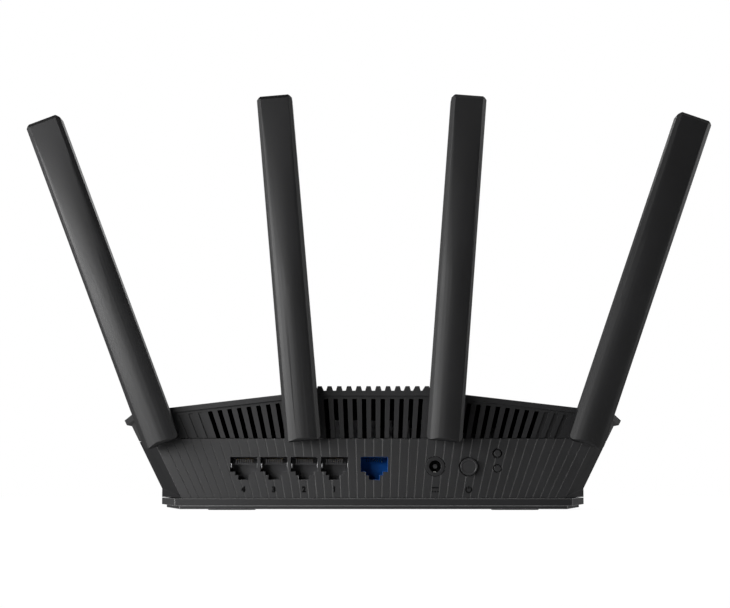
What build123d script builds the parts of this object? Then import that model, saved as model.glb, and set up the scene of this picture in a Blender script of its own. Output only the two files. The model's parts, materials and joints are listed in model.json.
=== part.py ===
from build123d import *
import math
import os

# Wireless router with four hinged antennas, in millimetres. The sockets face -Y and +X is to the
# right of someone who looks at them. The origin lies between the keyholes on the base's underside,
# and the rubber feet reach a little lower.

# Housing: six leaning side faces under a faceted roof
rear_y = -64.0           # rear face, with the sockets
front_y = 60.0           # front face at the seam
rear_half = 88.3         # half width of the rear face at the seam
mid_half = 102.8         # half width at mid depth at the seam
front_half = 74.0        # half width of the front face at the seam
side_lean = 0.5          # how far the sides lean out for each unit of height
front_lean = 0.25        # the same for the front face
seam_z = 4.8             # seam between the base and the walls
crease_z = 32.4          # seam between the walls and the top cover
ridge_z = 54.5           # level middle strip of the roof
strip_half = 26.4        # half width of the level middle strip of the roof
wing_fall = 0.117        # fall of the roof towards each side
front_fall = 0.16        # fall of the front half of the roof
wall = 2.0
roof_plate = 2.4
seam_gap = 0.3           # open line at each seam
rim_overhang = 2.0
rim_height = 2.4

# Ribs on the roof and the fan of slots and grooves on the rear face
rib_count = 12
rib_pitch = 4.52
rib_height = 2.1         # above the roof
rib_top = 1.9
rib_root = 3.1
rib_end_y = 38.0
fan_pitch = 4.12         # spacing at the crease in the middle
fan_spread = 0.0052      # growth of the spacing towards the sides
fan_lean = 0.0125        # lean of each line for each place from the middle
fan_curl = 0.0004        # growth of that lean
slot_width = 2.1
slot_last = 17           # the last slot that goes through
blind_last = 20          # the last one cut into the wall as a groove
line_last = 23           # the last line of the fan on the port panel
slot_under_roof = 3.7
groove_depth = 0.3
groove_width = 0.5

# Base
floor_z = 0.0            # underside of the base plate
floor_thick = 2.0
floor_top = floor_z + floor_thick
foot_plate_z = 1.5       # top of the foot plate, where the lip starts
lip_rear_half = 91.6
lip_mid_half = 105.0
lip_front_half = 77.0
lip_reach = 1.0          # how far the lip stands out at the rear
foot_inset = 2.4         # the foot plate's sides, in from the lip
foot_reach = 1.8         # how far the foot plate stands out at the rear
skirt_top = 9.2          # upright skirt at the foot of the leaning walls
upstand_top = 7.8
upstand_wall = 1.8
fit = 0.1                # clearance of pieces that are set into each other
snug = 0.05              # clearance of a screw in its post
socket_rib_y = -55.0     # rib that holds up the board under the network sockets
socket_rib_half = 0.8
socket_rib_gap = 0.2     # from its top to the board
vent_count = 9
vent_pitch = 8.0
vent_width = 2.0
vent_length = 16.0
vent_rows = (-24.0, 24.0)
keyhole_spacing = 130.0
keyhole_radius = 4.2
keyhole_slot = 2.1
keyhole_length = 7.5

# Fasteners and feet
case_screws = ((-86.0, -38.0), (86.0, -38.0), (-64.0, 46.0), (64.0, 46.0))
screw_shank = 1.45
screw_head = 2.8
screw_head_height = 1.8
screw_clearance = 0.25
screw_tip_gap = 2.0      # from a screw's tip to the bottom of its hole
post_radius = 3.8
post_hole_depth = 12.0
shoulder_z = 5.0         # seat of the screw heads
feet = ((-66.0, -54.0), (66.0, -54.0), (-48.0, 50.0), (48.0, 50.0))
foot_length = 22.0
foot_width = 8.0
foot_corner = 2.0
foot_recess = 0.6
foot_stand = 0.5         # how far the feet stand out under the base

# Main board
board_z = 10.0
board_thick = 1.6
board_rear_half = 82.0
board_front_half = 50.0
board_gap = 0.6          # between the board and the port panel
board_front_y = 54.0
board_waist_y = 8.0      # where its sides turn inwards
board_screws = ((-74.0, -20.0), (74.0, -20.0), (0.0, 50.0))
board_screw_shank = 1.2
board_screw_head = 2.5
board_screw_head_height = 1.5
board_screw_length = 6.0
board_top = board_z + board_thick

# Chips, heat sink and shields on the main board
chip_y = -2.0
chip_half = 9.5
chip_height = 1.5
pad_height = 1.0
pad_inset = 0.5
memory_x = 18.0
memory_y = -6.0
memory_half_x = 4.5
memory_half_y = 6.5
memory_height = 1.1
sink_half_x = 27.0
sink_half_y = 20.0
sink_base = 2.0
sink_fin = 1.2
sink_fin_height = 11.0
sink_fin_count = 9
sink_fin_margin = 7.0    # bare plate at each side of the fins
sink_pin = 1.3
sink_pin_inset = 4.0
sink_pin_head = 2.6
sink_pin_head_height = 1.5
sink_pin_barb = 1.9
sink_z = board_top + chip_height + pad_height
can_x = 58.0
can_y = 14.0
can_half_x = 15.0
can_half_y = 13.0
can_height = 3.2
can_sheet = 0.3
plug_xs = (-68.0, -48.0, 48.0, 68.0)
plug_y = -6.0
plug_radius = 1.3
plug_height = 1.6
transformer_y = -32.5
transformer_half_x = 6.2
transformer_half_y = 4.6
transformer_height = 5.4
capacitor_xs = (20.0, 28.5, 37.0)
capacitor_y = -34.0
capacitor_radius = 3.15
capacitor_height = 8.0

# Network sockets
lan_first_x = -60.0
lan_pitch = 13.97
lan_count = 4
wan_x = 0.4
port_top = 23.9
port_step = 17.2         # bottom of the wide part
port_notch = 15.6        # bottom of the latch step
port_bottom = 13.5
port_half = 6.15
port_step_half = 3.85
port_notch_half = 2.4
port_clearance = 0.1     # the panel's cut-out round the opening
jack_depth = 21.0
jack_cavity = 14.5
jack_top = 25.4
jack_side = 1.1          # plastic outside the last opening
shield_sheet = 0.3
contact_width = 0.45
contact_pitch = 1.02
contact_count = 8
contact_thick = 0.35
contact_drop = 1.8       # fall from the fold to the free tip
contact_root = 5.0       # from the cavity's back wall to the free tip
contact_setback = 2.5    # from the panel's inside to the fold
contact_fold = 2.5       # length of the fold itself

# Power inlet, power switch and the small buttons
inlet_x = 28.5
inlet_z = 19.6
inlet_ring = 4.4
inlet_bore = 2.8
inlet_pin = 1.0
inlet_depth = 10.0
inlet_body_half = 4.5
inlet_body_depth = 13.0
inlet_nose = 0.3         # how far the nose stands out of the panel
inlet_pin_setback = 1.2  # from the panel's face to the pin's tip
spring_half = 0.6
spring_thick = 0.3
spring_length = 6.5
spring_gap = 0.15        # from the bottom of the bore
power_x = 44.0
power_z = 19.4
power_radius = 4.2
power_travel = 2.0
power_proud = 2.6
power_body = 4.0         # from the panel's inside to the button's inner end
power_collar = 0.6       # how far the stop collar stands out
power_rim = 0.7          # width of the raised rim of its face
power_rim_height = 0.25
plunger_half = 1.5
plunger_start = 1.0      # plunger's front end, in from the panel
plunger_into_switch = 3.0
switch_setback = 7.0     # from the panel's inside to the switch
switch_depth = 9.0
switch_half = 4.2
stop_gap = 0.3           # between a stop collar and the panel
stop_thick = 1.2
hole_gap = 0.3           # round the buttons and the inlet
small_x = 57.3
wps_z = 25.6
wps_radius = 2.0
wps_proud = 0.4
reset_z = 18.6
reset_radius = 1.75
reset_proud = 0.2
small_travel = 0.6
small_collar = 0.8
small_stem = 1.0
button_board_y = -52.0
button_board_half = 6.0
button_board_thick = 1.0
button_board_margin = 4.0
tact_size = 6.0
tact_depth = 3.4

# Status lights
light_count = 7
light_pitch = 9.04
light_y = 46.0
light_width = 3.0
light_depth = 1.6
light_bar_z = 22.8
light_bar_height = 2.0
led_half_x = 0.8
led_half_y = 0.4
led_height = 0.8
led_gap = 0.3

# Antennas: pivot place and lean from the vertical, positive to the right
outer_z = 37.2
outer_inset = 5.3        # from the rear face's leaning edge to the outer pivots
inner_z = 39.2
inner_half = 32.8
outer_half = rear_half + side_lean * (outer_z - seam_z) - outer_inset
antennas = {
    "antenna_1": (-outer_half, outer_z, -20.9),
    "antenna_2": (-inner_half, inner_z, -5.0),
    "antenna_3": (inner_half, inner_z, 4.4),
    "antenna_4": (outer_half, outer_z, 19.2),
}
paddle_width = 16.3
paddle_thick = 13.0
paddle_below = 8.2       # from the hinge pin to the lower end
paddle_above = 152.0     # from the hinge pin to the tip
paddle_bevel = 1.7
bulge_radius = 17.5      # of the front face's lower half
bulge_high = 58.0        # height above the pin where it starts to fade into the flat front
bulge_setback = 0.02     # keeps the bulge's middle line from just touching the front plane
tip_chamfer = 1.7
heel_round = 5.0         # lower edge that turns past the wall
foot_round = 2.2         # the other lower edges
hinge_out = 10.5         # hinge pin, out from the rear face
hinge_pin = 1.25
hinge_pin_fit = 0.02     # in the shell
hinge_pin_play = 0.06    # in the tongue
pin_length = 12.6
fork_gap = 0.35          # at each side of the tongue
tongue_half = 2.3
tongue_round = 3.6
tongue_clearance = 0.45
collar_radius = 4.3
collar_height = 1.0
stub_radius = 3.2
stub_play = 0.06
stub_end_play = 0.3
barb_radius = 3.6
barb_height = 1.4
boss_radius = 5.2
boss_length = 4.0
lead_hole = 1.6
lead_radius = 0.7
lead_run = 12.0          # level run from the plug
lead_rise = 7.0          # depth over which it rises to the boss
lead_end_gap = 1.6       # from the tongue to the lead's end
shell_wall = 1.7
cavity_half = 4.5
cavity_low = 16.0
cover_thick = 1.5
cover_ledge = 0.7
antenna_board_half = 3.8
antenna_board_thick = 0.8
board_rests = (30.0, 75.0, 120.0)
board_rest_half = 1.0
board_overhang = 8.0     # radiator board past its last rests

hinge_y = rear_y - hinge_out
panel_in = rear_y + wall
socket_y = panel_in + fit
switch_front = panel_in + switch_setback
wide = 2 * mid_half      # past every side of the housing


def block(x0, x1, y0, y1, z0, z1):
    """A box given by its six faces."""
    return Pos((x0 + x1) / 2, (y0 + y1) / 2, (z0 + z1) / 2) * Box(x1 - x0, y1 - y0, z1 - z0)


def centred(x, y, half_x, half_y, z0, z1):
    """A box on a centre line that rises from z0 to z1."""
    return block(x - half_x, x + half_x, y - half_y, y + half_y, z0, z1)


def rod_z(radius, x, y, z0, z1):
    return Pos(x, y, (z0 + z1) / 2) * Cylinder(radius, z1 - z0)


def rod_y(radius, x, z, y0, y1):
    return Pos(x, (y0 + y1) / 2, z) * Rot(90, 0, 0) * Cylinder(radius, y1 - y0)


def rod_x(radius, y, z, x0, x1):
    return Pos((x0 + x1) / 2, y, z) * Rot(0, 90, 0) * Cylinder(radius, x1 - x0)


def prism_z(sides, radius, x, y, z0, z1):
    """An upright prism with regular sides, its corners at the radius."""
    return Pos(x, y, z0) * extrude(RegularPolygon(radius, sides), z1 - z0)


def prism_y(sides, radius, x, z, y0, y1):
    return Pos(x, y1, z) * extrude(Plane.XZ * RegularPolygon(radius, sides), y1 - y0)


def prism_x(sides, radius, x0, x1):
    """The same along X, round the origin's axis."""
    return Pos(x0, 0, 0) * extrude(Plane.YZ * RegularPolygon(radius, sides), x1 - x0)


def bar_y(x, z, half, y0, y1):
    """A square bar along Y."""
    return block(x - half, x + half, y0, y1, z - half, z + half)


def trimmed(shape, point, normal):
    """What is left of a shape behind a plane."""
    return split(shape, bisect_by=Plane(origin=point, z_dir=normal), keep=Keep.BOTTOM)


def plan(points, z0, z1):
    """A prism on a plan outline."""
    return Pos(0, 0, z0) * extrude(make_face(Polyline(*points, close=True)), z1 - z0)


def six_sided(rear, mid, front, y_rear, y_front, z0, z1):
    """A prism with the housing's six-sided plan, given by its three half widths."""
    right = [(rear, y_rear), (mid, 0), (front, y_front)]
    left = [(-x, y) for x, y in reversed(right)]
    return plan(right + left, z0, z1)


def housing(inset=0.0, under=0.0):
    """The outer form of the housing, with its sides moved in and its roof moved down."""
    rear_gain = (mid_half - rear_half) / -rear_y
    front_loss = (mid_half - front_half) / front_y
    faces = [((0, rear_y, 0), (0, -1, 0), inset), ((0, front_y, seam_z), (0, 1, -front_lean), inset)]
    for s in (-1, 1):
        faces.append(((s * rear_half, rear_y, seam_z), (s, -rear_gain, -side_lean), inset))
        faces.append(((s * mid_half, 0, seam_z), (s, front_loss, -side_lean), inset))
        faces.append(((s * strip_half, 0, ridge_z), (s * wing_fall, 0, 1), under))
        faces.append(((s * strip_half, 0, ridge_z), (s * wing_fall, front_fall, 1), under))
    faces.append(((0, 0, ridge_z), (0, 0, 1), under))
    faces.append(((0, 0, ridge_z), (0, front_fall, 1), under))
    shape = Box(4 * mid_half, 4 * front_y, 4 * ridge_z)
    for point, normal, distance in faces:
        out = Vector(*normal).normalized()
        shape = trimmed(shape, Vector(*point) - out * distance, out)
    return shape


def roof_z(x):
    """Height of the roof's rear half."""
    return ridge_z - wing_fall * max(0.0, abs(x) - strip_half)


def fan_x(place, z):
    """Where a line of the fan stands at a height. Places count from the middle, to the right."""
    out = abs(place)
    at_crease = fan_pitch * out + fan_spread * out * out
    lean = fan_lean * out + fan_curl * out * out
    return math.copysign(at_crease + lean * (z - crease_z), place)


def fan_strip(place, width, z0, top, y0, y1):
    """A leaning strip of the fan, cut off along the roof's fall, between two depths."""
    low = fan_x(place, z0)
    high = fan_x(place, top(low))
    outline = [(low - width / 2, z0), (low + width / 2, z0)]
    outline += [(x, top(x)) for x in (high + width / 2, high - width / 2)]
    face = Plane.XZ * make_face(Polyline(*outline, close=True))
    return Pos(0, y1, 0) * extrude(face, y1 - y0)


def slot_top(x):
    return roof_z(x) - slot_under_roof


def make_ribs():
    """The roof's ribs: level from the rear rim to mid depth, then down the front fall."""
    ribs = []
    for i in range(rib_count):
        x = (i - (rib_count - 1) / 2) * rib_pitch
        top, root = rib_top / 2, rib_root / 2
        outline = [(x - root, ridge_z - 1), (x + root, ridge_z - 1), (x + root, ridge_z)]
        outline += [(x + top, ridge_z + rib_height), (x - top, ridge_z + rib_height), (x - root, ridge_z)]
        face = Plane.XZ * make_face(Polyline(*outline, close=True))
        back = extrude(face, rim_overhang - rear_y)
        front = extrude(face, rib_end_y * math.hypot(1, front_fall), dir=(0, 1, -front_fall))
        ribs.append(back + front)
    return ribs


def near_boss(place):
    """Whether a slot of the fan would cut into an antenna's boss."""
    reach = boss_radius + slot_width
    return any(abs(fan_x(place, z) - x) < reach for x, z, lean in antennas.values())


def antenna_bosses():
    """The blocks behind the rear wall that carry the antennas' stubs."""
    pivots = antennas.values()
    return [prism_y(8, boss_radius, x, z, rear_y + wall / 2, panel_in + boss_length) for x, z, lean in pivots]


def antenna_bores():
    end = panel_in + boss_length + 1
    return [rod_y(stub_radius + stub_play, x, z, rear_y - wall, end) for x, z, lean in antennas.values()]


def make_top_cover():
    """Roof with its rim and ribs, and the slotted upper part of the rear wall."""
    rim = housing(-rim_overhang) - housing(-2 * rim_overhang, rim_height)
    cover = housing() + rim + make_ribs() - housing(wall, roof_plate)
    posts = [prism_z(8, post_radius, x, y, upstand_top, ridge_z) for x, y in case_screws]
    inside = housing(wall / 2, roof_plate / 2)
    bosses = [inside & piece for piece in antenna_bosses()]
    below = block(-wide, wide, -wide, wide, -wide, crease_z + seam_gap)
    cover = cover + bosses - below + [inside & post for post in posts]
    cuts = antenna_bores()
    for place in range(-blind_last, blind_last + 1):
        if near_boss(place):
            continue
        deep = panel_in + 0.5 if abs(place) <= slot_last else rear_y + wall / 2
        cuts.append(fan_strip(place, slot_width, crease_z, slot_top, rear_y - 0.5, deep))
    for x, y in case_screws:
        cuts.append(prism_z(8, screw_shank + snug, x, y, upstand_top - 1, upstand_top + post_hole_depth))
    cuts += [light_prong(i, fit) for i in range(light_count)]
    return cover - cuts


def make_mid_case():
    """The side and front walls below the crease, with the upright skirt at their foot."""
    front = front_y + lip_reach
    skirt = six_sided(rear_half + 0.5, lip_mid_half, lip_front_half, rear_y, front, seam_z, skirt_top)
    case = housing() + skirt - housing(wall, roof_plate)
    return case & block(-wide, wide, socket_y, wide, seam_z + seam_gap, crease_z)


def port_shape(x, gap):
    """The outline of one network socket's opening."""
    steps = [(port_half, port_top), (port_half, port_step), (port_step_half, port_step)]
    steps += [(port_step_half, port_notch), (port_notch_half, port_notch), (port_notch_half, port_bottom)]
    right = [(x + half + gap, z + math.copysign(gap, z - port_step - 1)) for half, z in steps]
    left = [(2 * x - px, z) for px, z in reversed(right)]
    return Plane.XZ * make_face(Polyline(*right, *left, close=True))


def port_cut(x, gap, y0, y1):
    return Pos(0, y1, 0) * extrude(port_shape(x, gap), y1 - y0)


def lan_xs():
    return [lan_first_x + i * lan_pitch for i in range(lan_count)]


def make_port_panel():
    """The rear wall below the crease, with the fan's grooves and every cut-out."""
    panel = housing() & block(-wide, wide, rear_y, panel_in, seam_z + seam_gap, crease_z)
    cuts = [port_cut(x, port_clearance, rear_y - 1, panel_in + 1) for x in lan_xs() + [wan_x]]
    for radius, x, z in (
        (inlet_ring, inlet_x, inlet_z),
        (power_radius, power_x, power_z),
        (wps_radius, small_x, wps_z),
        (reset_radius, small_x, reset_z),
    ):
        cuts.append(rod_y(radius + hole_gap, x, z, rear_y - 1, panel_in + 1))
    bottom = rear_y + groove_depth
    for place in range(-line_last, line_last + 1):
        cuts.append(fan_strip(place, groove_width, seam_z, lambda x: crease_z + 1, rear_y - 1, bottom))
    return panel - cuts


def keyholes():
    """The openings that hang the router on two wall screws."""
    cuts = []
    for s in (-1, 1):
        x = s * keyhole_spacing / 2
        cuts.append(rod_z(keyhole_radius, x, 0, floor_z - 1, floor_top + 1))
        cuts.append(block(x - keyhole_slot, x + keyhole_slot, -keyhole_length, 0, floor_z - 1, floor_top + 1))
        cuts.append(rod_z(keyhole_slot, x, -keyhole_length, floor_z - 1, floor_top + 1))
    return cuts


def make_base():
    """Foot plate, lip and upstand in one tray, with the posts, vents and keyholes."""
    foot_rear, foot_mid, foot_front = (h - foot_inset for h in (lip_rear_half, lip_mid_half, lip_front_half))
    base = six_sided(foot_rear, foot_mid, foot_front, rear_y - foot_reach, front_y, floor_z, foot_plate_z)
    rear, front = rear_y - lip_reach, front_y + lip_reach
    base += six_sided(lip_rear_half, lip_mid_half, lip_front_half, rear, front, foot_plate_z, seam_z)
    ring = housing(wall + fit) & block(-wide, wide, -wide, wide, foot_plate_z, upstand_top)
    base = base + ring - (housing(wall + upstand_wall) & block(-wide, wide, -wide, wide, floor_top, wide))
    base += [prism_z(8, post_radius + 0.8, x, y, floor_z, upstand_top - 0.02) for x, y in case_screws]
    base += [prism_z(8, post_radius, x, y, floor_z, board_z) for x, y in board_screws]
    rib_rear, rib_front = socket_rib_y - socket_rib_half, socket_rib_y + socket_rib_half
    start, end = lan_first_x - port_half, wan_x + port_half
    base += block(start, end, rib_rear, rib_front, floor_z, board_z - socket_rib_gap)
    cuts = keyholes()
    for x, y in case_screws:
        cuts.append(prism_z(12, screw_head + screw_clearance, x, y, floor_z - 1, shoulder_z))
        cuts.append(prism_z(8, screw_shank + screw_clearance, x, y, floor_z, upstand_top + 1))
    for x, y in board_screws:
        cuts.append(prism_z(8, board_screw_shank + snug, x, y, board_z - board_screw_length - 1, board_z + 1))
    for x, y in feet:
        cuts.append(foot_pad(x, y, fit, floor_z - 1, floor_z + foot_recess))
    for y in vent_rows:
        for i in range(vent_count):
            x = (i - (vent_count - 1) / 2) * vent_pitch
            cuts.append(centred(x, y, vent_width / 2, vent_length / 2, floor_z - 1, floor_top + 1))
    return base - cuts


def foot_pad(x, y, gap, z0, z1):
    """An oblong pad with cut corners."""
    pad = Rectangle(foot_length + 2 * gap, foot_width + 2 * gap)
    return Pos(x, y, z0) * extrude(chamfer(pad.vertices(), foot_corner), z1 - z0)


def make_rubber_feet():
    return [foot_pad(x, y, 0, floor_z - foot_stand, floor_z + foot_recess - 0.02) for x, y in feet]


def make_case_screws():
    screws = []
    for x, y in case_screws:
        head = prism_z(12, screw_head, x, y, shoulder_z - screw_head_height, shoulder_z)
        tip = upstand_top + post_hole_depth - screw_tip_gap
        screws.append(head + prism_z(8, screw_shank, x, y, shoulder_z, tip))
    return screws


def board_outline():
    """Half widths and depths of the main board, rear to front."""
    y_rear = panel_in + board_gap
    right = [(board_rear_half, y_rear), (board_rear_half, board_waist_y), (board_front_half, board_front_y)]
    return right + [(-x, y) for x, y in reversed(right)]


def make_main_board():
    board = plan(board_outline(), board_z, board_top)
    places = [(board_screw_shank, x, y) for x, y in board_screws] + [(sink_pin, x, y) for x, y in sink_pins()]
    return board - [prism_z(8, r + screw_clearance, x, y, board_z - 1, board_top + 1) for r, x, y in places]


def make_board_screws():
    screws = []
    for x, y in board_screws:
        head = prism_z(12, board_screw_head, x, y, board_top, board_top + board_screw_head_height)
        screws.append(head + prism_z(8, board_screw_shank, x, y, board_z - board_screw_length, board_top))
    return screws


def make_main_chip():
    return centred(0, chip_y, chip_half, chip_half, board_top, board_top + chip_height)


def make_thermal_pad():
    half = chip_half - pad_inset
    return centred(0, chip_y, half, half, board_top + chip_height, sink_z)


def make_memory_chips():
    top = board_top + memory_height
    return [centred(s * memory_x, memory_y, memory_half_x, memory_half_y, board_top, top) for s in (-1, 1)]


def sink_pins():
    out_x, out_y = sink_half_x - sink_pin_inset, sink_half_y - sink_pin_inset
    return [(s * out_x, chip_y + s * out_y) for s in (-1, 1)]


def make_heat_sink():
    """A plate with upright fins, held by two push pins."""
    sink = centred(0, chip_y, sink_half_x, sink_half_y, sink_z, sink_z + sink_base)
    step = (2 * (sink_half_x - sink_fin_margin) - sink_fin) / (sink_fin_count - 1)
    for i in range(sink_fin_count):
        x = (i - (sink_fin_count - 1) / 2) * step
        top = sink_z + sink_base + sink_fin_height
        sink += centred(x, chip_y, sink_fin / 2, sink_half_y, sink_z + sink_base, top)
    above = sink_z + sink_base + 1
    return sink - [prism_z(8, sink_pin + fit, x, y, sink_z - 1, above) for x, y in sink_pins()]


def make_heat_sink_pins():
    """Push pins: a head on the plate, a shank through plate and board, and a barb under the board."""
    pins = []
    for x, y in sink_pins():
        plate_top = sink_z + sink_base
        shank = prism_z(8, sink_pin, x, y, board_z - fit, plate_top)
        head = prism_z(12, sink_pin_head, x, y, plate_top, plate_top + sink_pin_head_height)
        barb = prism_z(8, sink_pin_barb, x, y, board_z - fit - sink_pin_barb, board_z - fit)
        pins.append(shank + head + barb)
    return pins


def make_radio_shields():
    """Folded sheet cans over the radio circuits, open towards the board."""
    top, in_x, in_y = board_top + can_height, can_half_x - can_sheet, can_half_y - can_sheet
    cans = []
    for x in (-can_x, can_x):
        can = centred(x, can_y, can_half_x, can_half_y, board_top, top)
        cans.append(can - centred(x, can_y, in_x, in_y, board_top - 1, top - can_sheet))
    return cans


def make_line_transformers():
    top = board_top + transformer_height
    half_x, half_y = transformer_half_x, transformer_half_y
    return [centred(x, transformer_y, half_x, half_y, board_top, top) for x in lan_xs() + [wan_x]]


def make_capacitors():
    top = board_top + capacitor_height
    return [prism_z(16, capacitor_radius, x, capacitor_y, board_top, top) for x in capacitor_xs]


def make_coax_plugs():
    return [prism_z(8, plug_radius, x, plug_y, board_top, board_top + plug_height) for x in plug_xs]


def jack_housing(xs):
    """A moulded socket block with one stepped cavity for each socket."""
    x0 = xs[0] - port_half - jack_side
    x1 = xs[-1] + port_half + jack_side
    body = block(x0, x1, socket_y, socket_y + jack_depth, board_top, jack_top)
    return body - [port_cut(x, 0, socket_y - 1, socket_y + jack_cavity) for x in xs]


def jack_shield(xs):
    """The folded sheet over a socket block, open at the front and below."""
    x0 = xs[0] - port_half - jack_side - fit
    x1 = xs[-1] + port_half + jack_side + fit
    back = socket_y + jack_depth + fit
    top = jack_top + fit
    sheet = shield_sheet
    outer = block(x0 - sheet, x1 + sheet, socket_y, back + sheet, board_top, top + sheet)
    return outer - block(x0, x1, socket_y - 1, back, board_top - 1, top)


def jack_contacts(xs):
    """Eight spring wires under the roof of each cavity, rooted in its back wall and folded back once."""
    back = socket_y + jack_cavity
    tip_y = back - contact_root
    fold_y = panel_in + contact_setback
    high = port_top - contact_thick
    low = high - contact_drop
    under = high - contact_thick
    above = [(back, high), (fold_y, high), (tip_y, low)]
    below = [(tip_y, low + contact_thick), (fold_y + contact_fold, under), (back, under)]
    wires = []
    for x in xs:
        for i in range(contact_count):
            centre = x + (i - (contact_count - 1) / 2) * contact_pitch
            face = Plane.YZ * make_face(Polyline(*above, *below, close=True))
            wires.append(Pos(centre - contact_width / 2, 0, 0) * extrude(face, contact_width))
    return wires


def make_dc_jack_body():
    """The inlet: a block on the board with a round nose that fills the panel's hole."""
    half, y1 = inlet_body_half, socket_y + inlet_body_depth
    body = block(inlet_x - half, inlet_x + half, socket_y, y1, board_top, inlet_z + half)
    body += rod_y(inlet_ring, inlet_x, inlet_z, rear_y - inlet_nose, socket_y + 1)
    return body - rod_y(inlet_bore, inlet_x, inlet_z, rear_y - 1, rear_y + inlet_depth)


def make_dc_jack_pin():
    return rod_y(inlet_pin, inlet_x, inlet_z, rear_y + inlet_pin_setback, rear_y + inlet_depth)


def make_dc_jack_spring():
    """The leaf that presses on the plug's sleeve, along the bottom of the bore."""
    y1 = rear_y + inlet_depth
    z = inlet_z - inlet_bore + spring_gap
    return block(inlet_x - spring_half, inlet_x + spring_half, y1 - spring_length, y1, z, z + spring_thick)


def make_power_button():
    """A round cap with a raised rim, a stop collar inside the panel and a socket for the plunger."""
    face_y = rear_y - power_proud
    stop_y = panel_in + stop_gap
    cap = rod_y(power_radius, power_x, power_z, face_y, panel_in + power_body)
    cap += bar_y(power_x, power_z, power_radius + power_collar, stop_y, stop_y + stop_thick)
    cap -= rod_y(power_radius - power_rim, power_x, power_z, face_y - 1, face_y + power_rim_height)
    start = panel_in + plunger_start
    return cap - bar_y(power_x, power_z, plunger_half + snug, start, panel_in + power_body + 1)


def make_power_plunger():
    start, end = panel_in + plunger_start, switch_front + plunger_into_switch
    return bar_y(power_x, power_z, plunger_half, start, end)


def make_power_switch():
    """The latching switch on the board, hollow in front for its plunger."""
    x0, x1 = power_x - switch_half, power_x + switch_half
    body = block(x0, x1, switch_front, switch_front + switch_depth, board_top, power_z + switch_half)
    deep = switch_front + plunger_into_switch + power_travel + stop_gap
    return body - bar_y(power_x, power_z, plunger_half + fit, switch_front - 1, deep)


def make_button_board():
    """An upright board behind the port panel that carries the two small switches."""
    x0, x1 = small_x - button_board_half, small_x + button_board_half
    y1 = button_board_y + button_board_thick
    return block(x0, x1, button_board_y, y1, board_top, wps_z + button_board_margin)


def make_tact_switches():
    y0 = button_board_y - tact_depth
    return [bar_y(small_x, z, tact_size / 2, y0, button_board_y) for z in (wps_z, reset_z)]


def small_button(z, radius, proud):
    """A slim push button with a collar behind the panel, ending just before its switch."""
    stop_y = panel_in + stop_gap
    button = rod_y(radius, small_x, z, rear_y - proud, stop_y)
    button += bar_y(small_x, z, radius + small_collar, stop_y, stop_y + stop_thick)
    end = button_board_y - tact_depth - small_travel - stop_gap
    return button + bar_y(small_x, z, small_stem, stop_y, end)


def light_xs():
    return [(i - (light_count - 1) / 2) * light_pitch for i in range(light_count)]


def light_prong(i, gap=0.0):
    """One light bar, from above its lamp up through the roof, cut along the roof's fall."""
    half_x, half_y = light_width / 2 + gap, light_depth / 2 + gap
    bar = centred(light_xs()[i], light_y, half_x, half_y, board_top + led_height + led_gap, ridge_z)
    return bar & housing(-10 * gap, -10 * gap)


def make_light_guide():
    """Seven light bars joined by one cross bar under the roof."""
    guide = light_prong(0)
    for i in range(1, light_count):
        guide += light_prong(i)
    top = light_bar_z + light_bar_height
    return guide + centred(0, light_y, light_xs()[-1], light_depth / 2, light_bar_z, top)


def make_status_leds():
    top = board_top + led_height
    return [centred(x, light_y, led_half_x, led_half_y, board_top, top) for x in light_xs()]


def at_pivot(shape, pivot):
    """Moves a piece of an antenna, drawn upright round the origin, to its place and lean."""
    x, z, lean = pivot
    return Pos(x, hinge_y, z) * Rot(0, lean, 0) * shape


def bulging_bar(rise):
    """A bar with cut corners and a round front, which leans forward from the bulge's height on."""
    w, t, cut = paddle_width / 2, paddle_thick / 2, paddle_bevel
    section = Polyline((w, -t), (w, t - cut), (w - cut, t), (cut - w, t), (-w, t - cut), (-w, -t), close=True)
    bar = Pos(0, 0, -paddle_below) * extrude(make_face(section), paddle_above + paddle_below)
    lean = Rot(math.degrees(math.atan(rise)), 0, 0)
    rod = Pos(0, bulge_radius, 0) * Cylinder(bulge_radius, 4 * paddle_above)
    bar &= Pos(0, bulge_setback - t, bulge_high) * lean * rod
    receded = (w - cut) ** 2 / (2 * bulge_radius)
    for s in (-1, 1):
        bar = trimmed(bar, (s * (w - cut), receded - t, bulge_high), (s, -1, -rise))
    return bar


def paddle_bar():
    """The paddle before its ends are shaped: bulging below, and flatter and flatter towards the tip."""
    receded = (paddle_width / 2 - paddle_bevel) ** 2 / (2 * bulge_radius)
    return bulging_bar(0) + bulging_bar(receded / (paddle_above - bulge_high))


def paddle_form():
    """The antenna's outer form: the bar within the two outlines of its ends."""
    length, middle = paddle_above + paddle_below, (paddle_above - paddle_below) / 2
    front = extrude(Plane.XZ * Pos(0, middle) * Rectangle(paddle_width, length), paddle_thick / 2, both=True)
    front = chamfer(front.edges().filter_by(Axis.Y).group_by(Axis.Z)[-1], tip_chamfer)
    front = fillet(front.edges().filter_by(Axis.Y).group_by(Axis.Z)[0], foot_round)
    side = extrude(Plane.YZ * Pos(0, middle) * Rectangle(paddle_thick, length), paddle_width / 2, both=True)
    side = chamfer(side.edges().filter_by(Axis.X).group_by(Axis.Z)[-1], tip_chamfer)
    side = fillet(side.edges().filter_by(Axis.X).group_by(Axis.Z)[0].sort_by(Axis.Y)[-1], heel_round)
    side = fillet(side.edges().filter_by(Axis.X).group_by(Axis.Z)[0].sort_by(Axis.Y)[0], foot_round)
    return front & side & paddle_bar()


def paddle_opening(gap):
    """The recess of the inner cover, or the cover itself."""
    t = paddle_thick / 2
    half = cavity_half + cover_ledge - gap
    low, high = cavity_low - cover_ledge, paddle_above - shell_wall - tip_chamfer + cover_ledge
    top = t + (1 if gap == 0 else 0)
    return block(-half, half, t - cover_thick + gap, top, low + gap, high - gap)


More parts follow.
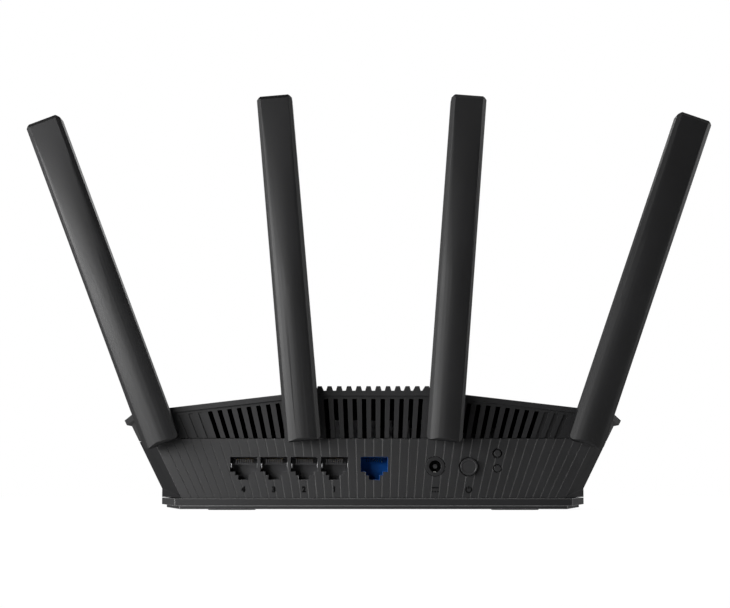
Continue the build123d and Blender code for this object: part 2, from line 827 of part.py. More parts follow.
def antenna_shell():
    """The outer shell, hollow behind the cover and slotted at its foot for the knuckle's tongue."""
    t = paddle_thick / 2
    shell = paddle_form() - paddle_opening(0)
    high = paddle_above - shell_wall - tip_chamfer
    shell -= block(-cavity_half, cavity_half, shell_wall - t, t, cavity_low, high)
    under_board = -antenna_board_thick / 2 - 0.02
    for z in board_rests:
        z0, z1 = z - board_rest_half, z + board_rest_half
        shell += block(-cavity_half, cavity_half, shell_wall - t, under_board, z0, z1)
    slot = tongue_half + fork_gap
    reach = tongue_round + tongue_clearance
    shell -= block(-slot, slot, 0, t + 1, -paddle_below - 1, reach)
    shell -= block(-slot, slot, -reach, 0, -paddle_below - 1, 0)
    shell -= rod_x(reach, 0, 0, -slot, slot)
    return shell - prism_x(12, hinge_pin + hinge_pin_fit, -paddle_width / 2 - 1, pin_length / 2 + fit)


def antenna_cover():
    return paddle_opening(fit)


def antenna_board():
    """The radiator board on its rests."""
    low, high = board_rests[0] - board_overhang, board_rests[-1] + board_overhang
    half = antenna_board_thick / 2
    return block(-antenna_board_half, antenna_board_half, -half, half, low, high)


def antenna_pin():
    return prism_x(12, hinge_pin, -pin_length / 2, pin_length / 2)


def antenna_knuckle():
    """Tongue, collar, stub through the wall and barb behind its boss, with a bore for the lead."""
    seat = hinge_out - stub_end_play
    barb_y = hinge_out + wall + boss_length + stub_end_play
    end = barb_y + barb_height
    tongue = prism_x(24, tongue_round, -tongue_half, tongue_half)
    tongue += block(-tongue_half, tongue_half, 0, seat - collar_height / 2, -tongue_round, tongue_round)
    knuckle = tongue + prism_y(24, collar_radius, 0, 0, seat - collar_height, seat)
    knuckle += rod_y(stub_radius, 0, 0, seat, end) + prism_y(8, barb_radius, 0, 0, barb_y, end)
    knuckle -= prism_y(8, lead_hole, 0, 0, tongue_round + 0.6, end + 1)
    return knuckle - rod_x(hinge_pin + hinge_pin_play, 0, 0, -2 * tongue_half, 2 * tongue_half)


def antenna_lead(number, pivot):
    """The coax from its plug on the board, up and back into the knuckle's bore, with plain bends."""
    x, z, lean = pivot
    plug_x = plug_xs[number]
    z0 = board_top + plug_height + lead_radius
    run_y = plug_y - lead_run
    end_y = hinge_y + tongue_round + lead_end_gap
    route = [(plug_x, plug_y, z0), (plug_x, run_y, z0), (x, run_y - lead_rise, z), (x, end_y, z)]
    path = Polyline(*route)
    section = Plane(origin=path @ 0, z_dir=path % 0) * RegularPolygon(lead_radius, 6)
    return sweep(section, path, transition=Transition.RIGHT)


def write(name, shape):
    pieces = shape if isinstance(shape, list) else [shape]
    solids = [solid for piece in pieces for solid in piece.solids()]
    model = solids[0] if len(solids) == 1 else Compound(solids)
    export_step(model, f"parts/{name}.step")


def main():
    os.makedirs("parts", exist_ok=True)
    pieces = {
        "top_cover": make_top_cover(),
        "mid_case": make_mid_case(),
        "port_panel": make_port_panel(),
        "base": make_base(),
        "rubber_feet": make_rubber_feet(),
        "case_screws": make_case_screws(),
        "main_board": make_main_board(),
        "board_screws": make_board_screws(),
        "main_chip": make_main_chip(),
        "memory_chips": make_memory_chips(),
        "thermal_pad": make_thermal_pad(),
        "heat_sink": make_heat_sink(),
        "heat_sink_pins": make_heat_sink_pins(),
        "radio_shields": make_radio_shields(),
        "line_transformers": make_line_transformers(),
        "capacitors": make_capacitors(),
        "coax_plugs": make_coax_plugs(),
        "lan_socket_block": jack_housing(lan_xs()),
        "lan_socket_shield": jack_shield(lan_xs()),
        "lan_socket_contacts": jack_contacts(lan_xs()),
        "wan_socket": jack_housing([wan_x]),
        "wan_socket_shield": jack_shield([wan_x]),
        "wan_socket_contacts": jack_contacts([wan_x]),
        "dc_inlet": make_dc_jack_body(),
        "dc_inlet_pin": make_dc_jack_pin(),
        "dc_inlet_spring": make_dc_jack_spring(),
        "power_switch": make_power_switch(),
        "power_plunger": make_power_plunger(),
        "power_button": make_power_button(),
        "button_board": make_button_board(),
        "tact_switches": make_tact_switches(),
        "wps_button": small_button(wps_z, wps_radius, wps_proud),
        "reset_button": small_button(reset_z, reset_radius, reset_proud),
        "light_guide": make_light_guide(),
        "status_leds": make_status_leds(),
    }
    for number, (name, pivot) in enumerate(antennas.items()):
        pieces[name + "_shell"] = at_pivot(antenna_shell(), pivot)
        pieces[name + "_cover"] = at_pivot(antenna_cover(), pivot)
        pieces[name + "_board"] = at_pivot(antenna_board(), pivot)
        pieces[name + "_pin"] = at_pivot(antenna_pin(), pivot)
        pieces[name + "_knuckle"] = at_pivot(antenna_knuckle(), pivot)
        pieces[name + "_lead"] = antenna_lead(number, pivot)
    for name, shape in pieces.items():
        write(name, shape)


main()
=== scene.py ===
import json
from math import cos, pi, radians, sin

import bmesh
import bpy
from mathutils import Matrix, Vector


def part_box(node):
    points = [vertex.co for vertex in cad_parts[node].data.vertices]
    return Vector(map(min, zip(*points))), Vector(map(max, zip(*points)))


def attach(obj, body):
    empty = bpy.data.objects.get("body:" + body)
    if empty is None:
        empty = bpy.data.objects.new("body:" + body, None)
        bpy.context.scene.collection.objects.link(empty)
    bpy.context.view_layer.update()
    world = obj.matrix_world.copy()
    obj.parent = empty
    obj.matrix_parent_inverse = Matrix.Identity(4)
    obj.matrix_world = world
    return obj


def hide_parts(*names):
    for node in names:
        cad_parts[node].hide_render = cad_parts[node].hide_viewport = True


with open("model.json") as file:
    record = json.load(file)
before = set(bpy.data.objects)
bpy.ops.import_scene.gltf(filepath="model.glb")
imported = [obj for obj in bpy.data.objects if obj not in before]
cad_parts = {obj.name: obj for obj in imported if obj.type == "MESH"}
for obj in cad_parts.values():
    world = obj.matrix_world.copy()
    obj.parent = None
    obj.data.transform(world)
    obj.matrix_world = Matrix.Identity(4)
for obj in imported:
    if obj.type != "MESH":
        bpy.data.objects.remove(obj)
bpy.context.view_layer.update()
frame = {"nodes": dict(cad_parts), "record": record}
cad = frame["nodes"]
mm = 0.001
print("frame loaded:", len(cad), "nodes")


# Shader sockets that add and multiply like numbers

class Value:
    def __init__(self, paint, socket):
        self.paint = paint
        self.socket = socket

    def maths(self, operation, first, second):
        return self.paint.maths(operation, first, second)

    def __add__(self, other):
        return self.maths("ADD", self, other)

    def __radd__(self, other):
        return self.maths("ADD", other, self)

    def __mul__(self, other):
        return self.maths("MULTIPLY", self, other)

    def __rmul__(self, other):
        return self.maths("MULTIPLY", other, self)


# One Principled material and the nodes that feed it

class Paint:
    def __init__(self, name, color, roughness, **fixed):
        self.material = bpy.data.materials.new(name)
        self.material.use_nodes = True
        self.tree = self.material.node_tree
        self.shader = self.tree.nodes["Principled BSDF"]
        self.set("Base Color", (*color, 1))
        self.set("Roughness", roughness)
        for key, value in fixed.items():
            self.set(key, value)

    def feed(self, socket, value):
        if isinstance(value, Value):
            self.tree.links.new(value.socket, socket)
        else:
            socket.default_value = value

    def set(self, key, value):
        self.feed(self.shader.inputs[key], value)

    def node(self, kind, settings=None, inputs=None, output=0):
        new = self.tree.nodes.new(kind)
        for key, value in (settings or {}).items():
            setattr(new, key, value)
        for key, value in (inputs or {}).items():
            self.feed(new.inputs[key], value)
        return Value(self, new.outputs[output])

    def maths(self, operation, first, second):
        return self.node("ShaderNodeMath", {"operation": operation}, {0: first, 1: second})

    def place(self, scale=(1, 1, 1), turn=(0, 0, 0)):
        spot = self.node("ShaderNodeTexCoord", output="Object")
        return self.node("ShaderNodeMapping", None, {"Vector": spot, "Scale": scale, "Rotation": turn})

    def noise(self, scale, detail=2.0, at=None):
        return self.node("ShaderNodeTexNoise", None, {"Vector": at or self.place(), "Scale": scale, "Detail": detail})

    def spread(self, value, low, high, start=0.0, end=1.0):
        return self.node("ShaderNodeMapRange", None, {0: value, 1: start, 2: end, 3: low, 4: high})

    def fade(self, factor, first, second):
        return self.node("ShaderNodeMix", {"data_type": "RGBA"}, {0: factor, 6: first, 7: (*second, 1)}, 2)

    def blend(self, factor, first, second):
        return self.fade(factor, (*first, 1), second)

    def bump(self, height, distance, strength=1.0):
        inputs = {"Height": height, "Distance": distance, "Strength": strength}
        self.set("Normal", self.node("ShaderNodeBump", None, inputs))


# Black moulded plastics: a fine spark-eroded grain, uneven gloss, and edges a little polished and painted paler,
# partly as wear and partly as a painted highlight
plastics = {
    "housing": {
        "dark": (0.0034, 0.0034, 0.0036), "light": (0.0052, 0.0052, 0.0055),
        "cloud": 38, "grain": 2300, "height": 0.014 * mm,
        "roughness": (0.40, 0.50), "coat": (0.15, 0.22), "polish": 0.2, "wearAndSheen": 0.012,
    },
    "foot": {
        "dark": (0.0034, 0.0034, 0.0036), "light": (0.0052, 0.0052, 0.0055),
        "cloud": 38, "grain": 2300, "height": 0.014 * mm,
        "roughness": (0.40, 0.50), "coat": (0.15, 0.22), "polish": 0.4, "wearAndSheen": 0.055,
    },
    # The case's sides: the housing plastic painted darker, as painted shade
    "side": {
        "dark": (0.0020, 0.0020, 0.0022), "light": (0.0032, 0.0032, 0.0034),
        "cloud": 38, "grain": 2300, "height": 0.014 * mm,
        "roughness": (0.42, 0.52), "coat": (0.07, 0.12), "polish": 0.1,
    },
    "panel": {
        "dark": (0.0044, 0.0044, 0.0046), "light": (0.0066, 0.0066, 0.0069),
        "cloud": 60, "grain": 2600, "height": 0.012 * mm,
        "roughness": (0.38, 0.48), "coat": (0.17, 0.24), "polish": 0.4, "wearAndSheen": 0.11,
    },
    "antenna": {
        "dark": (0.0034, 0.0034, 0.0035), "light": (0.0048, 0.0048, 0.0050),
        "cloud": 30, "grain": 3000, "height": 0.008 * mm,
        "roughness": (0.36, 0.45), "coat": (0.15, 0.21), "polish": 0.08,
    },
    "button": {
        "dark": (0.0050, 0.0050, 0.0052), "light": (0.0070, 0.0070, 0.0073),
        "cloud": 160, "grain": 3200, "height": 0.006 * mm,
        "roughness": (0.32, 0.40), "coat": (0.22, 0.32), "polish": 0.6,
    },
    "socket": {
        "dark": (0.0130, 0.0130, 0.0148), "light": (0.0200, 0.0200, 0.0225),
        "cloud": 240, "grain": 2600, "height": 0.006 * mm,
        "roughness": (0.36, 0.48), "coat": (0.30, 0.45), "polish": 0.2,
    },
    "inlet": {
        "dark": (0.0034, 0.0034, 0.0036), "light": (0.0050, 0.0050, 0.0053),
        "cloud": 240, "grain": 2600, "height": 0.006 * mm,
        "roughness": (0.40, 0.50), "coat": (0.14, 0.22), "polish": 0.4,
    },
}


def mouldedPlastic(name, look):
    low, high = look["roughness"]
    paint = Paint(name, look["dark"], high, **{"Specular IOR Level": 0.0, "Coat Roughness": (low + high) / 2})
    cloud = paint.noise(look["cloud"], 4)
    grain = paint.noise(look["grain"], 2)
    edge = paint.node("ShaderNodeAttribute", {"attribute_name": "edge"}, None, 2)
    wearAndSheen = paint.spread(cloud * 0.6 + grain * 0.4, 0, 1, 0.3, 0.7)
    tone = paint.blend(paint.spread(cloud, 0, 1, 0.3, 0.7), look["dark"], look["light"])
    # Rounded edges are painted paler: some wear, and partly a painted highlight along the edges.
    pale = tuple(max(look.get("wearAndSheen", 0), c) for c in look["light"])
    paint.set("Base Color", paint.fade(edge, tone, pale))
    paint.set("Roughness", paint.spread(wearAndSheen, low, high))
    paint.set("Coat Weight", paint.spread(wearAndSheen, look["coat"][1], look["coat"][0]) + edge * look["polish"])
    paint.bump(grain, look["height"])
    return paint.material


# Bare metal with fine lines or a mottled plating
def sheetMetal(name, color, roughness, scale, stretch=(1, 1, 1)):
    paint = Paint(name, color, roughness, Metallic=1.0)
    lines = paint.noise(scale, 3, paint.place(stretch))
    darker = tuple(c * 0.72 for c in color)
    paint.set("Base Color", paint.blend(paint.spread(lines, 0, 1, 0.3, 0.7), darker, color))
    paint.set("Roughness", paint.spread(lines, roughness * 0.75, roughness * 1.3, 0.3, 0.7))
    paint.bump(lines, 0.004 * mm)
    return paint.material


def plainPaint(name, color, roughness, scale=60, **fixed):
    paint = Paint(name, color, roughness, **fixed)
    cloud = paint.noise(scale, 3)
    darker = tuple(c * 0.8 for c in color)
    paint.set("Base Color", paint.blend(paint.spread(cloud, 0, 1, 0.3, 0.7), darker, color))
    paint.set("Roughness", paint.spread(cloud, roughness * 0.85, min(1, roughness * 1.15), 0.3, 0.7))
    return paint.material


finishes = {
    "housing_black": mouldedPlastic("housingBlack", plastics["housing"]),
    "panel_black": mouldedPlastic("panelBlack", plastics["panel"]),
    "antenna_black": mouldedPlastic("antennaBlack", plastics["antenna"]),
    "button_black": mouldedPlastic("buttonBlack", plastics["button"]),
    "socket_black": mouldedPlastic("socketBlack", plastics["socket"]),
    "side_painted_shade": mouldedPlastic("sidePaintedShade", plastics["side"]),
    "foot_black": mouldedPlastic("footBlack", plastics["foot"]),
    "inlet_black": mouldedPlastic("inletBlack", plastics["inlet"]),
    # Inlet pin: metal painted nearly black, as painted shade inside the inlet
    "inlet_pin": sheetMetal("inletPinPaintedShade", (0.026, 0.026, 0.027), 0.42, 900),
    # Socket wires: metal painted nearly black, as painted shade under the socket roofs
    "wire_painted_shade": sheetMetal("wireSteelPaintedShade", (0.034, 0.034, 0.035), 0.5, 900),
    "tab_steel": sheetMetal("tabSteel", (0.15, 0.15, 0.155), 0.36, 900),
    "feet_rubber": plainPaint("feetRubber", (0.02, 0.02, 0.02), 0.8, 300),
    "screw_steel": sheetMetal("screwSteel", (0.52, 0.52, 0.54), 0.3, 900),
    "board_green": plainPaint("boardGreen", (0.01, 0.09, 0.035), 0.35, 120),
    "chip_black": plainPaint("chipBlack", (0.018, 0.018, 0.019), 0.55, 400),
    "pad_grey": plainPaint("padGrey", (0.42, 0.44, 0.48), 0.7, 200),
    "sink_aluminium": sheetMetal("sinkAnodised", (0.035, 0.036, 0.038), 0.42, 700, (1, 1, 0.05)),
    "pin_plastic": plainPaint("pinPlastic", (0.62, 0.62, 0.6), 0.45),
    "shield_steel": sheetMetal("shieldSteel", (0.66, 0.65, 0.62), 0.28, 500),
    "capacitor_can": sheetMetal("capacitorCan", (0.7, 0.7, 0.72), 0.25, 600),
    "contact_gold": sheetMetal("contactGold", (0.83, 0.6, 0.24), 0.22, 700),
    "socket_blue": plainPaint("socketBlue", (0.0, 0.034, 0.155), 0.55, 150, **{"Specular IOR Level": 0.04}),
    "light_clear": plainPaint("lightClear", (0.05, 0.05, 0.055), 0.35, 90),
    "led_white": plainPaint("ledWhite", (0.8, 0.8, 0.72), 0.35, 200),
    "lead_black": plainPaint("leadBlack", (0.015, 0.015, 0.016), 0.5, 200),
}
slotOf = {part["node"]: part["material_slot"] for part in frame["record"]["subparts"]}
finishOf = {
    **slotOf, "dc_inlet": "inlet_black", "dc_inlet_pin": "inlet_pin", "mid_case": "side_painted_shade", "base": "foot_black",
}
for node, shape in cad.items():
    shape.data.materials.clear()
    shape.data.materials.append(finishes[finishOf[node]])
print("materials made:", len(finishes))


# A CAD node's mesh with its sharp edges rounded over, which then stands for the node
softEdges = {
    "top_cover": 0.25,
    "mid_case": 0.3,
    "port_panel": 0.2,
    "base": 0.4,
    "power_button": 0.3,
    "wps_button": 0.2,
    "reset_button": 0.2,
    "dc_inlet": 0.15,
    "rubber_feet": 0.3,
}
for name in ("antenna_1", "antenna_2", "antenna_3", "antenna_4"):
    softEdges[name + "_shell"] = 0.25
    softEdges[name + "_cover"] = 0.2
    softEdges[name + "_knuckle"] = 0.25
# Buttons are drawn narrower than their solids, so a dark ring shows round them.
narrower = {"power_button": 0.93, "wps_button": 0.76, "reset_button": 0.86}
mergeDistance = 0.002 * mm
flatAngle = radians(1.0)
sharpAngle = radians(24)


def finished(name, mesh, body, slot, smooth=True, finish=None):
    piece = bpy.data.objects.new(name, mesh)
    bpy.context.scene.collection.objects.link(piece)
    mesh.materials.clear()
    mesh.materials.append(finishes[finish or slot])
    if smooth:
        mesh.shade_smooth()
        mesh.set_sharp_from_angle(angle=radians(35))
        piece.modifiers.new("Flats", "WEIGHTED_NORMAL").keep_sharp = True
    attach(piece, body)
    return piece


bodyOf = {}
for body, members in frame["record"]["behaviour"]["bodies"].items():
    for node in members:
        bodyOf[node] = body


# The paddles' fronts fade from round to flat, so the solid's few strips there get a fine grid.
paddleFront = {
    "edge": 6.44 * mm, "depth": 1.19 * mm, "fadeFrom": 58.0 * mm, "fadeTo": 152.0 * mm, "top": 150.2 * mm,
    "columns": 10, "rows": 16,
}
hinges = {joint["child"]: joint for joint in frame["record"]["behaviour"]["joints"]}


def frontFaces(bm):
    low, high, edge = paddleFront["fadeFrom"], paddleFront["top"], paddleFront["edge"]
    found = []
    for face in bm.faces:
        middle = face.calc_center_median()
        if face.normal.y < -0.9 and low < middle.z < high + mm and abs(middle.x) < edge:
            found.append(face)
    return found


def smoothFront(bm, node):
    hinge = hinges[node.removesuffix("_shell")]
    along = Vector(hinge["axis"])
    turned = Matrix((along, (0, 1, 0), (-along.z, 0, along.x))).to_4x4()
    upright = turned @ Matrix.Translation(-Vector(hinge["pos_m"]))
    bmesh.ops.transform(bm, matrix=upright, verts=bm.verts)
    bm.normal_update()
    look = paddleFront
    planes = []
    for i in range(1, look["columns"]):
        planes.append(((look["edge"] * (2 * i / look["columns"] - 1), 0, 0), (1, 0, 0)))
    for i in range(look["rows"] + 1):
        planes.append(((0, 0, look["fadeFrom"] + (look["top"] - look["fadeFrom"]) * i / look["rows"]), (0, 0, 1)))
    for place, normal in planes:
        faces = frontFaces(bm)
        edges = {e for f in faces for e in f.edges}
        verts = {v for f in faces for v in f.verts}
        bmesh.ops.bisect_plane(bm, geom=[*faces, *edges, *verts], dist=mergeDistance, plane_co=place, plane_no=normal)
    front = min(v.co.y for v in bm.verts)
    for vert in {v for f in frontFaces(bm) for v in f.verts}:
        if abs(vert.co.x) < look["edge"] - 0.02 * mm:
            share = (look["fadeTo"] - max(vert.co.z, look["fadeFrom"])) / (look["fadeTo"] - look["fadeFrom"])
            vert.co.y = front + look["depth"] * share * (vert.co.x / look["edge"]) ** 2
    bmesh.ops.transform(bm, matrix=upright.inverted(), verts=bm.verts)
    bm.normal_update()


# The floors of the panel's lines get a painted highlight, paler in colour, which fades out to one side.
lineHighlightLook = {"from": 0.05 * mm, "to": 1.0 * mm, "startX": -80.0 * mm, "fullX": -25.0 * mm, "most": 0.27}


def paintedLineHighlights(bm, edge):
    look = lineHighlightLook
    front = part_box("port_panel")[0].y
    for face in bm.faces:
        if look["from"] < face.calc_center_median().y - front < look["to"] and face.normal.y < -0.3:
            for loop in face.loops:
                share = (loop.vert.co.x - look["startX"]) / (look["fullX"] - look["startX"])
                loop[edge] = look["most"] * min(1, max(0, share))


def softened(node, width):
    mesh = cad[node].data.copy()
    mesh.name = "soft_" + node
    bm = bmesh.new()
    bm.from_mesh(mesh)
    edge = bm.loops.layers.float.new("edge")
    bmesh.ops.remove_doubles(bm, verts=bm.verts, dist=mergeDistance)
    bmesh.ops.dissolve_limit(bm, angle_limit=flatAngle, verts=bm.verts, edges=bm.edges)
    if node.endswith("_shell"):
        smoothFront(bm, node)
    sharp = [e for e in bm.edges if e.is_manifold and abs(e.calc_face_angle()) > sharpAngle]
    rounded = bmesh.ops.bevel(
        bm, geom=sharp, offset=width * mm, offset_type="OFFSET", segments=2, profile=0.5,
        affect="EDGES", clamp_overlap=True, material=-1,
    )
    for face in rounded["faces"]:
        for loop in face.loops:
            loop[edge] = 1
    # Painted highlight along the floors of the panel's lines
    if node == "port_panel":
        paintedLineHighlights(bm, edge)
    share = narrower.get(node, 1)
    middle = (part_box(node)[0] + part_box(node)[1]) / 2
    home = Matrix.Translation(middle)
    bmesh.ops.transform(bm, matrix=home @ Matrix.Diagonal((share, 1, share, 1)) @ home.inverted(), verts=bm.verts)
    bm.to_mesh(mesh)
    bm.free()
    piece = finished("soft_" + node, mesh, bodyOf[node], slotOf[node], finish=finishOf[node])
    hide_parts(node)
    return piece


for node, width in softEdges.items():
    softened(node, width)
print("edges rounded:", len(softEdges))


mounts = {mount["name"]: Vector(mount["pos_m"]) for mount in frame["record"]["mounts"]}
lanMounts = [place for name, place in mounts.items() if name.startswith("lan_socket")]


def bar(bm, low, high, rounding):
    middle = (Vector(low) + Vector(high)) / 2
    extent = Vector(high) - Vector(low)
    made = bmesh.ops.create_cube(bm, size=1, matrix=Matrix.Translation(middle) @ Matrix.Diagonal((*extent, 1)))
    edges = list({e for v in made["verts"] for e in v.link_edges})
    bmesh.ops.bevel(
        bm, geom=edges, offset=rounding, offset_type="OFFSET", segments=3, profile=0.5,
        affect="EDGES", clamp_overlap=True, material=-1,
    )


def meshOf(bm, name):
    mesh = bpy.data.meshes.new(name)
    bm.to_mesh(mesh)
    bm.free()
    return mesh


# A comb of wires under each black socket's roof, on a cross bar, in metal painted nearly black as painted shade
combLook = {
    "low": -0.05 * mm, "high": 2.4 * mm, "setback": 3.2 * mm, "deep": 0.3 * mm, "line": 0.3 * mm,
    "half": 5.6 * mm, "count": 8, "pitch": 1.02 * mm, "barRounding": 0.08 * mm, "wireRounding": 0.05 * mm,
}
bm = bmesh.new()
for place in lanMounts:
    near = place.y + combLook["setback"]
    far = near + combLook["deep"]
    low, high, line = place.z + combLook["low"], place.z + combLook["high"], combLook["line"]
    half = combLook["half"]
    bar(bm, (place.x - half, near, low), (place.x + half, far, low + line), combLook["barRounding"])
    for i in range(combLook["count"]):
        middle = place.x + (i - (combLook["count"] - 1) / 2) * combLook["pitch"]
        bar(bm, (middle - line / 2, near, low + line), (middle + line / 2, far, high), combLook["wireRounding"])
finished("socket_combs", meshOf(bm, "socket_combs"), "root", "shield_steel", finish="wire_painted_shade")
print("socket combs made:", len(lanMounts))


# Metal spring tabs at the sides of each black socket's mouth
tabLook = {
    "openHalf": 6.15 * mm, "left": 0.8 * mm, "right": 0.12 * mm, "height": 2.4 * mm, "depth": 5.0 * mm,
    "drop": 0.6 * mm, "setback": 0.9 * mm, "rounding": 0.25 * mm,
}
bm = bmesh.new()
for place in lanMounts:
    front = place.y + tabLook["setback"]
    middle = place.z - tabLook["drop"]
    low, high = middle - tabLook["height"] / 2, middle + tabLook["height"] / 2
    for start, end in (
        (place.x - tabLook["openHalf"], place.x - tabLook["openHalf"] + tabLook["left"]),
        (place.x + tabLook["openHalf"] - tabLook["right"], place.x + tabLook["openHalf"]),
    ):
        bar(bm, (start, front, low), (end, front + tabLook["depth"], high), tabLook["rounding"])
finished("socket_tabs", meshOf(bm, "socket_tabs"), "root", "shield_steel", finish="tab_steel")
print("socket tabs made:", 2 * len(lanMounts))


# Marks moulded on the panel: plain numerals, and the common signs for direct current and for power
markLook = {
    "height": 2.6 * mm, "z": 8.9 * mm, "proud": 0.06 * mm, "line": 0.6 * mm, "width": 3.4 * mm, "bold": 0.2 * mm,
    "emPerHeight": 1.35, "rounding": 0.01 * mm, "dashPitch": 0.72, "dashHalf": 0.24, "gapHalf": 0.6, "steps": 28,
}
markTone = (0.0015, 0.0015, 0.0015)
finishes["mark_black"] = plainPaint("markBlack", markTone, 0.8, 300, **{"Specular IOR Level": 0.0})
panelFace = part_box("port_panel")[0].y


def placedMark(name, mesh, x):
    mesh.transform(Matrix.Translation((x, panelFace, markLook["z"])) @ Matrix.Rotation(pi / 2, 4, "X"))
    finished(name, mesh, "root", "panel_black", False, "mark_black")


def numeral(text, x):
    curve = bpy.data.curves.new("numeral" + text, "FONT")
    curve.body = text
    curve.size = markLook["height"] * markLook["emPerHeight"]
    curve.align_x = "CENTER"
    curve.align_y = "CENTER"
    curve.extrude = markLook["proud"]
    curve.offset = markLook["bold"]
    curve.resolution_u = 4
    holder = bpy.data.objects.new("numeral" + text, curve)
    mesh = bpy.data.meshes.new_from_object(holder)
    bpy.data.objects.remove(holder)
    placedMark("numeral_" + text, mesh, x)


def directCurrentSign(x):
    bm = bmesh.new()
    half, line, high = markLook["width"] / 2, markLook["line"] / 2, markLook["proud"]
    bar(bm, (-half, 2 * line, -high), (half, 4 * line, high), markLook["rounding"])
    dash = markLook["dashHalf"] * half
    for i in (-1, 0, 1):
        middle = i * markLook["dashPitch"] * half
        bar(bm, (middle - dash, -4 * line, -high), (middle + dash, -2 * line, high), markLook["rounding"])
    placedMark("dc_sign", meshOf(bm, "dc_sign"), x)


def powerSign(x):
    bm = bmesh.new()
    radius, line, high = markLook["height"] / 2, markLook["line"] / 2, markLook["proud"]
    corners = [(-line, -high), (line, -high), (line, high), (-line, high)]
    section = bm.faces.new([bm.verts.new((radius + a, 0, b)) for a, b in corners])
    turn = Matrix.Rotation(pi / 2 + markLook["gapHalf"], 4, "Z")
    bmesh.ops.transform(bm, matrix=turn, verts=bm.verts)
    bmesh.ops.spin(
        bm, geom=list(bm.verts) + list(bm.edges) + [section], cent=(0, 0, 0), axis=(0, 0, 1),
        angle=2 * (pi - markLook["gapHalf"]), steps=markLook["steps"], use_duplicate=False,
    )
    bmesh.ops.recalc_face_normals(bm, faces=bm.faces)
    bar(bm, (-line, 0.3 * radius, -high), (line, 1.3 * radius, high), markLook["rounding"])
    placedMark("power_sign", meshOf(bm, "power_sign"), x)


for name, place in mounts.items():
    if name.startswith("lan_socket"):
        numeral(name[-1], place.x)
directCurrentSign(mounts["power_inlet"].x)
powerLow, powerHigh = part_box("power_button")
powerSign((powerLow.x + powerHigh.x) / 2)
print("marks made")


# Floor, lamps and camera
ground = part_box("rubber_feet")[0].z
studio = {
    "frontPlace": (-0.295, -0.633, 0.10), "frontSize": (0.30, 0.20), "frontPower": 4.5,
    "keyPlace": (-0.535, -0.449, 0.10), "keySize": (0.35, 0.20), "keyPower": 6.5,
    "sidePlace": (-0.49, -0.344, 0.21), "sideSize": (0.35, 0.35), "sidePower": 6.5,
    "leftPlace": (-0.98, -0.086, 0.22), "leftSize": (0.50, 0.50), "leftPower": 4,
    "rightPlace": (0.98, -0.086, 0.22), "rightSize": (0.50, 0.50), "rightPower": 11,
    "topPlace": (0.30, -0.10, 1.10), "topSize": (0.70, 0.50), "topPower": 3,
    "fillPlace": (0.35, 0.85, 0.65), "fillSize": (0.60, 0.60), "fillPower": 14,
    "aim": (0, 0, 0.09),
    "ambient": 0.05,
    "whiteNear": 0.95, "whiteFar": 1.0, "near": 0.3, "far": 0.8,
}


def lamp(name, place, size, power):
    light = bpy.data.lights.new(name, "AREA")
    light.shape = "RECTANGLE"
    light.size, light.size_y = size
    light.energy = power
    holder = bpy.data.objects.new(name, light)
    bpy.context.scene.collection.objects.link(holder)
    holder.location = place
    holder.rotation_euler = (Vector(studio["aim"]) - Vector(place)).to_track_quat("-Z", "Y").to_euler()


for part in ("front", "key", "side", "left", "right", "top", "fill"):
    lamp(part + "Lamp", studio[part + "Place"], studio[part + "Size"], studio[part + "Power"])

world = bpy.data.worlds.new("studioWorld")
bpy.context.scene.world = world
world.use_nodes = True
background = world.node_tree.nodes["Background"]
background.inputs["Color"].default_value = (1, 1, 1, 1)
background.inputs["Strength"].default_value = studio["ambient"]

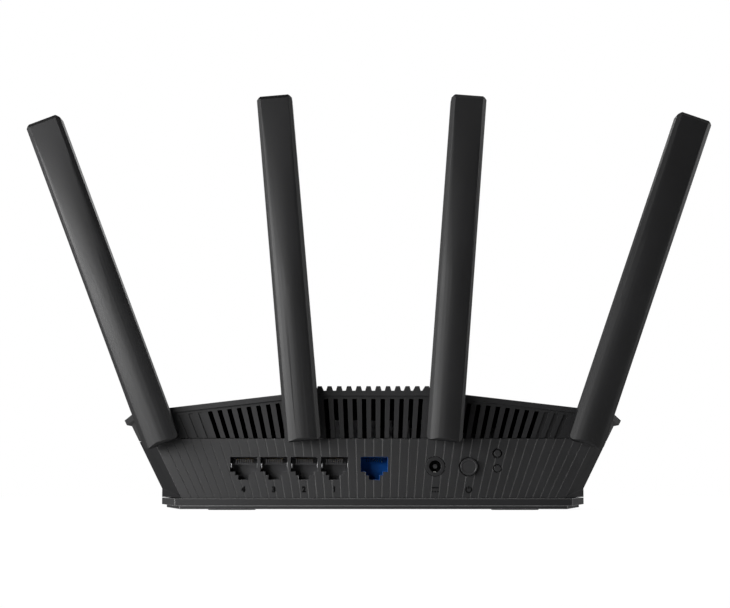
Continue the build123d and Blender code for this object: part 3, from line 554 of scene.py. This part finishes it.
# The floor runs up into a backdrop. What looks straight at it, or at its reflection, finds it white.
sweep = {"half": 4.0, "front": -3.0, "turn": 1.6, "radius": 1.0, "top": 3.0, "steps": 12}
bm = bmesh.new()
line = [Vector((-sweep["half"], sweep["front"], 0))]
for i in range(sweep["steps"] + 1):
    angle = pi / 2 * i / sweep["steps"]
    y, z = sweep["turn"] + sweep["radius"] * sin(angle), sweep["radius"] * (1 - cos(angle))
    line.append(Vector((-sweep["half"], y, z)))
line.append(Vector((-sweep["half"], sweep["turn"] + sweep["radius"], sweep["top"])))
verts = [bm.verts.new(point) for point in line]
edges = [bm.edges.new(pair) for pair in zip(verts, verts[1:])]
made = bmesh.ops.extrude_edge_only(bm, edges=edges)
moved = [v for v in made["geom"] if isinstance(v, bmesh.types.BMVert)]
bmesh.ops.translate(bm, verts=moved, vec=(2 * sweep["half"], 0, 0))
bmesh.ops.translate(bm, verts=bm.verts, vec=(0, 0, ground))
bmesh.ops.recalc_face_normals(bm, faces=bm.faces)
floorMesh = meshOf(bm, "floor")
floorMesh.shade_smooth()
floorPaint = Paint("floorWhite", (0.9, 0.9, 0.9), 0.9)
glow = floorPaint.node("ShaderNodeEmission", None, {"Color": (1, 1, 1, 1), "Strength": 1.0})
cameraRay = floorPaint.node("ShaderNodeLightPath", output="Is Camera Ray")
glossyRay = floorPaint.node("ShaderNodeLightPath", output="Is Glossy Ray")
clearRay = floorPaint.node("ShaderNodeLightPath", output="Is Transmission Ray")
looked = floorPaint.maths("MAXIMUM", floorPaint.maths("MAXIMUM", cameraRay, glossyRay), clearRay)
reach = floorPaint.node("ShaderNodeVectorMath", {"operation": "LENGTH"}, {0: floorPaint.place()}, 1)
white = floorPaint.spread(reach, studio["whiteNear"], studio["whiteFar"], studio["near"], studio["far"])
mixed = floorPaint.node("ShaderNodeMixShader", None, {0: looked * white, 2: glow})
floorPaint.tree.links.new(floorPaint.shader.outputs[0], mixed.socket.node.inputs[1])
floorPaint.tree.links.new(mixed.socket, floorPaint.tree.nodes["Material Output"].inputs["Surface"])
floorMesh.materials.append(floorPaint.material)
floor = bpy.data.objects.new("floor", floorMesh)
bpy.context.scene.collection.objects.link(floor)

cameraLook = {"place": (-3.9 * mm, -864 * mm, 11.8 * mm), "pitch": 5.94, "lens": 85.0}
camera = bpy.data.objects.new("camera", bpy.data.cameras.new("camera"))
bpy.context.scene.collection.objects.link(camera)
camera.location = cameraLook["place"]
camera.rotation_euler = (radians(90 + cameraLook["pitch"]), 0, 0)
camera.data.lens = cameraLook["lens"]
camera.data.sensor_width = 36
camera.data.clip_start = 0.01
bpy.context.scene.camera = camera
bpy.context.scene.view_settings.view_transform = "Standard"
print("studio ready")
